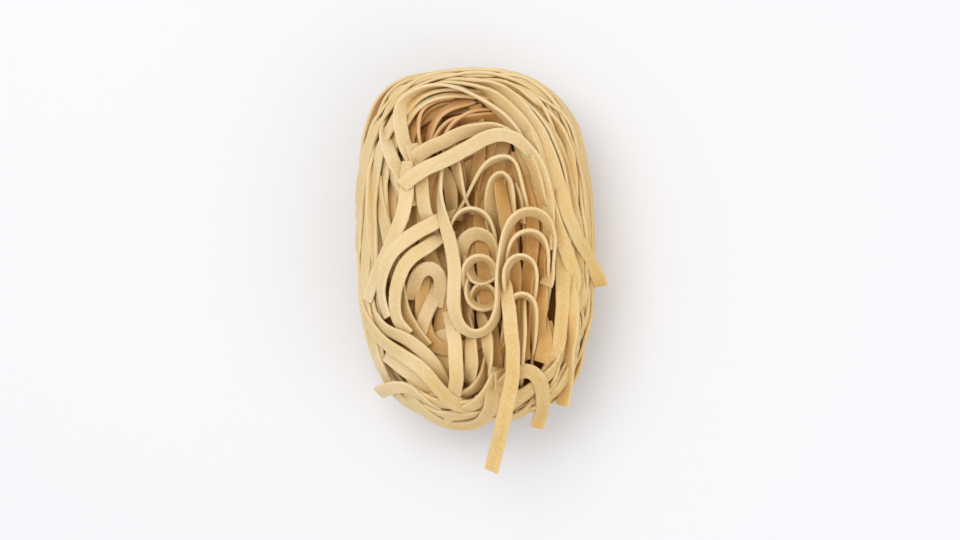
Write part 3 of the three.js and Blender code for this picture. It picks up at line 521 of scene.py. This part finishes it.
def partFaces(laid, points, across, owner):
    first, last = strandEnds(owner)
    inner = np.ones(len(laid), bool)
    inner[first] = inner[last] = False
    leaning = across.copy()
    rows = np.array(settle["rows"]) * strand["width"]
    station = np.repeat(np.arange(len(laid)), len(rows))
    for step in range(settle["touchingRounds"]):
        spots = (points[:, None, :] + across[:, None, :] * rows[None, :, None]).reshape(-1, 3)
        if step % settle["touchingLook"] == 0:
            near = pairsWithin(spots, settle["touch"] + 0.5)
            sa, sb = station[near[0]], station[near[1]]
            apart = (owner[sa] != owner[sb]) | (np.abs(sa - sb) > settle["touchingOwn"])
            near = near[0][apart], near[1][apart]
        between = spots[near[0]] - spots[near[1]]
        gap = np.linalg.norm(between, axis=1) + 1e-9
        hit = gap < settle["touch"]
        push = (0.5 * (settle["touch"] - gap[hit]) / gap[hit])[:, None] * between[hit]
        push = gather(near[0][hit], near[1][hit], push, len(spots))
        push[:, 2] += np.maximum(0, settle["lowest"] - spots[:, 2])
        push = push.reshape(len(laid), len(rows), 3)
        turned = (push * rows[None, :, None]).sum(1) / (rows ** 2).sum()
        moved = (points - laid) * (1 - 0.3 * settle["hold"])
        moved = moved + settle["eager"] * smoothAlong(push.mean(1), inner, 2)
        points = laid + smoothAlong(moved, inner, 1)
        turned = across - leaning + settle["eager"] * smoothAlong(turned, inner, 2)
        across = leaning + smoothAlong(turned, inner, 1)
        tangent, _ = directions(points, across, first, last)
        across = across - (across * tangent).sum(1)[:, None] * tangent
        across /= np.linalg.norm(across, axis=1)[:, None]
    return points, tangent, across


buried = {  # how much of a strand lies under others, for the painted shade that makes it darker and warmer
    "centre": (0, 0, 14), "radii": (34, 52, 27),  # the shape that says which way is outward
    "reach": 6.0,         # how far away a strand still covers another
    "aside": 1.7,         # spread of what it covers
    "above": 0.6, "full": 2.2,  # it covers from this far above, and in full that much further
    "enough": 3.0,        # this much cover counts for two thirds
}


def howBuried(points, owner):  # from 0 for a strand that lies open to nearly 1 under others
    outward = (points - buried["centre"]) / np.square(buried["radii"])
    outward /= np.linalg.norm(outward, axis=1)[:, None]
    a, b = pairsWithin(points, buried["reach"])
    a, b = a[owner[a] != owner[b]], b[owner[a] != owner[b]]
    under, over = np.concatenate([a, b]), np.concatenate([b, a])
    away = points[over] - points[under]
    rise = (away * outward[under]).sum(1)
    aside = (away ** 2).sum(1) - rise ** 2
    covers = np.exp(-aside / (2 * buried["aside"] ** 2))
    covers = covers * np.clip((rise - buried["above"]) / buried["full"], 0, 1)
    cover = 1 - np.exp(-np.bincount(under, covers, len(points)) / buried["enough"])
    inner = np.ones(len(points), bool)
    inner[np.concatenate(strandEnds(owner))] = False
    return smoothAlong(cover[:, None], inner, 3)[:, 0]


def newPiece(name, mesh):
    piece = bpy.data.objects.new(name, mesh)
    bpy.context.scene.collection.objects.link(piece)
    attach(piece, "root")
    return piece


def meshHeart():
    turns = np.linspace(0, 2 * math.pi, heart["columns"], endpoint=False)
    e = 2 / ring["squareness"]
    rows = [np.stack([(ring["halfWidth"] + out) * signedPower(np.cos(turns), e),
                      (ring["halfLength"] + out) * signedPower(np.sin(turns), e),
                      np.full(len(turns), float(z))], axis=1) for out, z in heart["profile"]]
    columns, last = len(turns), (len(rows) - 1) * len(turns)
    faces = [(r * columns + c, r * columns + (c + 1) % columns,
              (r + 1) * columns + (c + 1) % columns, (r + 1) * columns + c)
             for r in range(len(rows) - 1) for c in range(columns)]
    faces += [tuple(range(columns - 1, -1, -1)), tuple(range(last, last + columns))]
    mesh = bpy.data.meshes.new("heart")
    mesh.from_pydata(((np.concatenate(rows) + (place[0], place[1], 0)) / 1000).tolist(), [], faces)
    mesh.shade_smooth()
    return newPiece("heart", mesh)


def strandSection():  # ten points round a flat strand: across, up, and 1 on the cut edges
    w, t, e = strand["width"] / 2, strand["thick"] / 2, strand["edge"]
    side = [(w - e, -t, 0.5), (w, -t + e, 1), (w, t - e, 1), (w - e, t, 0.5)]
    return np.array([(0, -t, 0)] + side + [(0, t, 0)] + [(-a, -b, c) for a, b, c in side])


def varied(what, run, number, salt, waves):
    amount, span = strand[what]
    return amount * wander(run / span, number, salt, waves)


def strandVertices(points, tangent, across, number):
    section = strandSection()
    upward = np.cross(tangent, across)
    run = np.arange(len(points)) * strand["gap"]
    wide = 1 + varied("widthVaries", run, number, 70, (1, 2.7, 6.1))
    thick = 1 + varied("thickVaries", run, number, 73, (1, 2.9, 5.3))
    cup = varied("cup", run, number, 76, (1, 2.2, 4.7))
    wave = varied("wave", run, number, 79, (1, 1.7, 2.9))
    a = section[None, :, 0] * wide[:, None] + wave[:, None]
    bulge = cup[:, None] * (1 - (2 * section[None, :, 0] / strand["width"]) ** 2)
    b = section[None, :, 1] * thick[:, None] + bulge
    rows = points[:, None] + across[:, None] * a[..., None] + upward[:, None] * b[..., None]
    for end, step in ((0, 1), (-1, -1)):
        skew = strand["skew"] * (spread(number, 83 + end) - 0.5) * section[:, 0]
        rows[end] += tangent[end] * (skew * step)[:, None]
        middle = rows[end].mean(0)
        rim = middle + (rows[end] - middle) * strand["rim"] - tangent[end] * strand["worn"] * step
        rows = np.concatenate([rim[None], rows] if end == 0 else [rows, rim[None]])
    run = np.concatenate([[run[0]], run, [run[-1]]])
    sheet = np.stack([np.broadcast_to(section[None, :, 0], rows.shape[:2]),
                      np.broadcast_to(run[:, None], rows.shape[:2])], axis=-1)
    return rows, sheet, np.broadcast_to(section[None, :, 2], rows.shape[:2])


def addAttribute(mesh, name, values):
    kind, field = ("FLOAT_VECTOR", "vector") if values.ndim == 2 else ("FLOAT", "value")
    attribute = mesh.attributes.new(name, kind, "POINT")
    attribute.data.foreach_set(field, values.astype(np.float32).ravel())


def meshFromStrands(name, points, tangent, across, cover, owner, numbers):
    vertices, faces, sheets, edges, tints, covers = [], [], [], [], [], []
    base = 0
    for number in numbers:
        mine = owner == number
        rows, sheet, edge = strandVertices(points[mine], tangent[mine], across[mine], number)
        count, sides = rows.shape[:2]
        i = base + np.arange(count - 1)[:, None] * sides
        j = np.arange(sides)[None, :]
        k = (j + 1) % sides
        faces += np.stack([i + j, i + k, i + sides + k, i + sides + j], axis=-1).reshape(-1, 4).tolist()
        faces.append(list(range(base + sides - 1, base - 1, -1)))
        faces.append(list(range(base + (count - 1) * sides, base + count * sides)))
        vertices.append(rows.reshape(-1, 3))
        sheets.append(sheet.reshape(-1, 2))
        edges.append(edge.reshape(-1))
        tints.append(np.full(count * sides, spread(number, 90)))
        covers.append(np.repeat(np.pad(cover[mine], 1, mode="edge"), sides))
        base += count * sides
    placed = (np.concatenate(vertices) + (place[0], place[1], 0)) / 1000
    placed[:, 2] = np.maximum(placed[:, 2], 0)  # dried lying on a flat tray
    mesh = bpy.data.meshes.new(name)
    mesh.from_pydata(placed.tolist(), [], faces)
    mesh.shade_smooth()
    mesh.set_sharp_from_angle(angle=math.radians(strand["sharpFrom"]))
    addAttribute(mesh, "onStrand", np.column_stack([np.concatenate(sheets) / 1000, np.concatenate(tints)]))
    addAttribute(mesh, "cutEdge", np.concatenate(edges))
    addAttribute(mesh, "buried", np.concatenate(covers))
    return newPiece(name, mesh)


dough = {  # colours are linear
    "straw": (0.68, 0.49, 0.197), "pale": (0.80, 0.637, 0.39), "amber": (0.62, 0.37, 0.12),
    "golden": (0.93, 0.80, 0.48),  # painted shade: multiplies the right side of the nest darker and yellower
    "recessShade": (0.85, 0.735, 0.50),  # painted shade: multiplies the hollow and what lies under others darker and warmer
    "flour": (0.88, 0.78, 0.58), "bran": (0.34, 0.18, 0.07),
    "blotches": 60, "clouds": 70, "flecked": 420,  # sizes of the patterns, in cells a metre
    "dust": 1300, "streaks": 1500, "grain": 2400,
    "drawn": (1.0, 0.07, 0.3),  # the streaks run along a strand
    "flecks": 0.6, "plain": 0.82,  # strength of the flecks, and the share of the cells without one
    "shadedSide": (-0.4, -0.004, 0.028),  # painted shade on the right side: share of y that is added to x, then where it starts and ends
    "hollowAt": (0.0, -0.13, 0.0), "hollowScale": (50.0, 28.0, 0.0),
    "hollowTop": 0.0355, "hollowFloor": 0.0300,
    "buriedFrom": 0.10, "buriedFully": 0.50,
    "smooth": 0.5, "rough": 0.78, "specular": 0.35,
    "glow": 0.25, "glowTint": (1.0, 0.55, 0.2), "glowReach": 0.0016,
    "relief": 0.00012, "bump": 0.8,
}


def addNode(tree, kind, x, y, inputs=(), **settings):
    node = tree.nodes.new(kind)
    node.location = (x, y)
    for name, value in settings.items():
        setattr(node, name, value)
    for socket, value in dict(inputs).items():
        if isinstance(value, bpy.types.NodeSocket):
            tree.links.new(value, node.inputs[socket])
        else:
            node.inputs[socket].default_value = value
    return node


def mixColour(tree, x, y, mask, one, two, blend="MIX"):
    one = (*one, 1.0) if isinstance(one, tuple) else one
    two = (*two, 1.0) if isinstance(two, tuple) else two
    return addNode(tree, "ShaderNodeMix", x, y, {0: mask, 6: one, 7: two},
                   data_type="RGBA", blend_type=blend).outputs[2]


def ranged(tree, x, y, value, low, high, least=0.0, most=1.0):
    return addNode(tree, "ShaderNodeMapRange", x, y, {
        "Value": value, "From Min": low, "From Max": high, "To Min": least, "To Max": most}).outputs[0]


def reckon(tree, x, y, operation, *values):
    return addNode(tree, "ShaderNodeMath", x, y, enumerate(values), operation=operation).outputs[0]


def onMesh(tree, y, name, output="Fac"):
    return addNode(tree, "ShaderNodeAttribute", -1400, y, attribute_name=name).outputs[output]


def noise(tree, x, y, vector, scale, detail):
    return addNode(tree, "ShaderNodeTexNoise", x, y, {
        "Vector": vector, "Scale": scale, "Detail": detail}).outputs["Fac"]


def doughGroup():  # colour, roughness and relief of a dried, floured sheet cut into strands, with painted shade in the hollow, under other strands and on the right side
    tree = bpy.data.node_groups.new("driedDough", "ShaderNodeTree")
    for name in ("Straw", "Pale", "Amber", "SideShade", "RecessShade"):
        tree.interface.new_socket(name=name, in_out="INPUT", socket_type="NodeSocketColor")
    for name in ("Floury", "Flecks"):
        tree.interface.new_socket(name=name, in_out="INPUT", socket_type="NodeSocketFloat")
    tree.interface.new_socket(name="Colour", in_out="OUTPUT", socket_type="NodeSocketColor")
    for name in ("Roughness", "Relief"):
        tree.interface.new_socket(name=name, in_out="OUTPUT", socket_type="NodeSocketFloat")
    given = addNode(tree, "NodeGroupInput", -1400, 300).outputs
    spot = addNode(tree, "ShaderNodeTexCoord", -1400, 0).outputs["Object"]
    lay = onMesh(tree, -200, "onStrand", "Vector")
    edge = onMesh(tree, -400, "cutEdge")
    own = addNode(tree, "ShaderNodeSeparateXYZ", -1200, -200, {0: lay}).outputs["Z"]
    drawn = addNode(tree, "ShaderNodeMapping", -1200, -350, {
        "Vector": lay, "Scale": dough["drawn"]}).outputs[0]

    blotch = noise(tree, -1000, 500, spot, dough["blotches"], 3.0)
    blotch = ranged(tree, -800, 500, blotch, 0.36, 0.64, 0.0, 0.7)
    colour = mixColour(tree, -600, 500, blotch, given["Straw"], given["Pale"])
    tint = ranged(tree, -800, 300, own, 0, 1, 0.0, 0.55)  # each strand has its own
    colour = mixColour(tree, -400, 500, tint, colour, given["Pale"])

    parts = addNode(tree, "ShaderNodeSeparateXYZ", -1200, 700, {0: spot}).outputs
    # painted shade: the right side of the nest is multiplied darker and yellower
    slope, sideShadeFrom, sideShadeFull = dough["shadedSide"]
    sideShadeMask = reckon(tree, -1000, 600, "MULTIPLY_ADD", parts["Y"], slope, parts["X"])
    sideShadeMask = ranged(tree, -800, 650, sideShadeMask, sideShadeFrom, sideShadeFull)
    colour = mixColour(tree, -300, 700, sideShadeMask, colour, given["SideShade"], "MULTIPLY")

    # painted shade: low down in the hollow near the middle, and on strands under others
    middle = addNode(tree, "ShaderNodeMapping", -1200, 900, {
        "Vector": spot, "Location": dough["hollowAt"], "Scale": dough["hollowScale"]}).outputs[0]
    middle = addNode(tree, "ShaderNodeVectorMath", -1000, 900, {0: middle}, operation="LENGTH")
    middle = ranged(tree, -800, 900, middle.outputs["Value"], 1.15, 0.75)
    low = ranged(tree, -800, 750, parts["Z"], dough["hollowTop"], dough["hollowFloor"])
    recessShade = reckon(tree, -600, 800, "MULTIPLY", middle, low)
    # painted shade from the buried attribute: strands under others come out darker
    under = ranged(tree, -800, 1100, onMesh(tree, 1100, "buried"), dough["buriedFrom"], dough["buriedFully"])
    recessShade = reckon(tree, -400, 1000, "MAXIMUM", recessShade, under)
    colour = mixColour(tree, -250, 900, recessShade, colour, given["RecessShade"], "MULTIPLY")

    deep = ranged(tree, -800, 100, own, 0.55, 1.0, 0.0, 0.4)
    colour = mixColour(tree, -200, 500, deep, colour, given["Amber"])
    streak = noise(tree, -1000, -350, drawn, dough["streaks"], 3.0)
    streaked = ranged(tree, -800, -350, streak, 0.35, 0.7, 0.0, 0.22)
    colour = mixColour(tree, 0, 500, streaked, colour, given["Amber"])
    rim = reckon(tree, -800, -500, "MULTIPLY", edge, 0.4)
    colour = mixColour(tree, 200, 500, rim, colour, given["Pale"])

    dust = noise(tree, -1000, -100, spot, dough["dust"], 4.0)
    dust = ranged(tree, -800, -100, dust, 0.42, 0.72)
    cloud = noise(tree, -1000, -20, spot, dough["clouds"], 2.0)
    cloud = ranged(tree, -800, -20, cloud, 0.35, 0.65, 0.35, 1.0)
    floured = reckon(tree, -600, -60, "MULTIPLY", dust, cloud)
    floured = reckon(tree, -400, -60, "MULTIPLY", floured, given["Floury"])
    colour = mixColour(tree, 400, 500, floured, colour, dough["flour"])

    cell = addNode(tree, "ShaderNodeTexVoronoi", -1000, -650, {"Vector": spot, "Scale": dough["flecked"]})
    speck = ranged(tree, -800, -650, cell.outputs["Distance"], 0.12, 0.05)
    chosen = addNode(tree, "ShaderNodeSeparateColor", -800, -800, {0: cell.outputs["Color"]}).outputs[0]
    chosen = reckon(tree, -600, -800, "GREATER_THAN", chosen, dough["plain"])
    speck = reckon(tree, -600, -650, "MULTIPLY", speck, chosen)
    speck = reckon(tree, -400, -650, "MULTIPLY", speck, given["Flecks"])
    colour = mixColour(tree, 600, 500, speck, colour, dough["bran"])

    grain = noise(tree, -1000, -1000, spot, dough["grain"], 3.0)
    relief = reckon(tree, 0, -700, "MULTIPLY_ADD", grain, 0.5, streak)
    relief = reckon(tree, 200, -700, "MULTIPLY_ADD", floured, 0.5, relief)
    rough = reckon(tree, -200, -450, "MULTIPLY", grain, 0.5)
    rough = reckon(tree, 0, -400, "ADD", floured, rough)
    rough = ranged(tree, 200, -400, rough, 0.1, 0.6, dough["smooth"], dough["rough"])
    out = addNode(tree, "NodeGroupOutput", 800, 0)
    for name, value in (("Colour", colour), ("Roughness", rough), ("Relief", relief)):
        tree.links.new(value, out.inputs[name])
    return tree


def pastaMaterial(name, group, floury, tone):
    material = bpy.data.materials.new(name)
    material.use_nodes = True
    tree = material.node_tree
    surface = tree.nodes["Principled BSDF"]
    surface.inputs["Specular IOR Level"].default_value = dough["specular"]
    surface.inputs["Subsurface Weight"].default_value = dough["glow"]
    surface.inputs["Subsurface Radius"].default_value = dough["glowTint"]
    surface.inputs["Subsurface Scale"].default_value = dough["glowReach"]
    made = addNode(tree, "ShaderNodeGroup", -500, 200, node_tree=group)
    for key in ("Straw", "Pale", "Amber"):
        toned = [a * b for a, b in zip(dough[key.lower()], tone)]
        made.inputs[key].default_value = (*toned, 1.0)
    made.inputs["SideShade"].default_value = (*dough["golden"], 1.0)
    made.inputs["RecessShade"].default_value = (*dough["recessShade"], 1.0)
    made.inputs["Floury"].default_value = floury
    made.inputs["Flecks"].default_value = dough["flecks"]
    tree.links.new(made.outputs["Colour"], surface.inputs["Base Color"])
    tree.links.new(made.outputs["Roughness"], surface.inputs["Roughness"])
    bump = addNode(tree, "ShaderNodeBump", -250, -150, {
        "Height": made.outputs["Relief"], "Strength": dough["bump"], "Distance": dough["relief"]})
    tree.links.new(bump.outputs["Normal"], surface.inputs["Normal"])
    return material


strands = layStrands()
owner = np.concatenate([np.full(len(points), i) for i, (points, _) in enumerate(strands)])
laid = np.concatenate([points for points, _ in strands])
facing = np.concatenate([face for _, face in strands])
print("laid", len(strands), "strands,", round(len(laid) * strand["gap"] / 1000, 2), "m")

parted, across = partCrossings(laid, facing, owner)
parted, tangent, across = partFaces(laid, parted, across, owner)
cover = howBuried(parted, owner)
print("settled", np.round(parted.min(0), 1), np.round(parted.max(0), 1))

counts = [wound["inner"], wound["under"], wound["hoops"], len(sweptStrands)]
counts += [len(group) for group in laidStrands.values()] + [len(tightBends), wound["base"]]
names = ["innerTurns", "underStrands", "outerTurns", "sweptStrands"]
names += [group + "Strands" for group in laidStrands] + ["tightBends", "baseStrands"]

tones = {  # how floury, and what straw, pale and amber are multiplied by; the darker tones within, in the pocket and in the heart are painted shade
    "driedPasta": (0.32, (1.0, 1.0, 1.0)),
    "driedPastaShadedWithin": (0.15, (0.90, 0.76, 0.57)),
    "driedPastaShadedPocket": (0.15, (0.96, 0.76, 0.64)),
    "driedPastaShadedHeart": (0.0, (0.62, 0.43, 0.25)),
}
# painted shade: the strands deep inside, in the pocket and the heart get the darker tones
within = {
    "heart": "driedPastaShadedHeart", "innerTurns": "driedPastaShadedWithin", "underStrands": "driedPastaShadedWithin",
    "inPocketStrands": "driedPastaShadedPocket",
}
doughTree = doughGroup()
materials = {name: pastaMaterial(name, doughTree, *tone) for name, tone in tones.items()}
pieces = [meshHeart()]
start = 0
for name, count in zip(names, counts):
    numbers = range(start, start + count)
    pieces.append(meshFromStrands(name, parted, tangent, across, cover, owner, numbers))
    start += count
for piece in pieces:
    piece.data.materials.append(materials[within.get(piece.name, "driedPasta")])
    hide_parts("pasta_nest")
triangles = sum(len(piece.data.loops) - 2 * len(piece.data.polygons) for piece in pieces)
print("made", len(pieces), "pieces,", triangles, "triangles")

stage = {"floor": (0.80, 0.80, 0.82), "size": 3.0, "rough": 0.6, "specular": 0.2}


def makeFloor():
    bpy.ops.object.select_all(action="DESELECT")
    bpy.ops.mesh.primitive_plane_add(size=stage["size"], location=(0, 0, 0))
    floor = bpy.context.object
    floor.name = "floor"
    material = bpy.data.materials.new("floorBoard")
    material.use_nodes = True
    surface = material.node_tree.nodes["Principled BSDF"]
    surface.inputs["Base Color"].default_value = (*stage["floor"], 1.0)
    surface.inputs["Roughness"].default_value = stage["rough"]
    surface.inputs["Specular IOR Level"].default_value = stage["specular"]
    floor.data.materials.append(material)


lights = {
    "sky": (0.97, 0.98, 1.0), "skyStrength": 0.80, "aim": (0, 0, 0.02),
    "key": {"place": (-0.15, 0.21, 0.70), "size": 0.5, "power": 2.2, "colour": (1.0, 0.97, 0.93)},
    "fill": {"place": (0.45, -0.30, 0.45), "size": 0.6, "power": 1.0, "colour": (0.93, 0.96, 1.0)},
}


def makeLights():
    world = bpy.data.worlds.new("studio")
    bpy.context.scene.world = world
    world.use_nodes = True
    sky = world.node_tree.nodes["Background"]
    sky.inputs["Color"].default_value = (*lights["sky"], 1.0)
    sky.inputs["Strength"].default_value = lights["skyStrength"]
    for name in ("key", "fill"):
        values = lights[name]
        lamp = bpy.data.lights.new(name, "AREA")
        lamp.size = values["size"]
        lamp.energy = values["power"]
        lamp.color = values["colour"]
        holder = bpy.data.objects.new(name, lamp)
        holder.location = values["place"]
        towards = Vector(lights["aim"]) - holder.location
        holder.rotation_euler = towards.to_track_quat("-Z", "Y").to_euler()
        bpy.context.scene.collection.objects.link(holder)


camera = {"lens": 85, "distance": 0.62, "sideways": 6, "downwards": 4, "aim": (0.0, 0.0, 0.02)}


def makeCamera():  # almost straight down, with the length of the nest up the frame
    lens = bpy.data.cameras.new("camera")
    lens.lens = camera["lens"]
    holder = bpy.data.objects.new("camera", lens)
    holder.rotation_euler = (math.radians(camera["downwards"]), math.radians(camera["sideways"]), 0)
    back = holder.rotation_euler.to_matrix() @ Vector((0, 0, 1))
    holder.location = Vector(camera["aim"]) + back * camera["distance"]
    bpy.context.scene.collection.objects.link(holder)
    bpy.context.scene.camera = holder


makeFloor()
makeLights()
makeCamera()
scene = bpy.context.scene
scene.view_settings.view_transform = "Standard"
scene.view_settings.look = "None"
print("stage, lights and camera made")
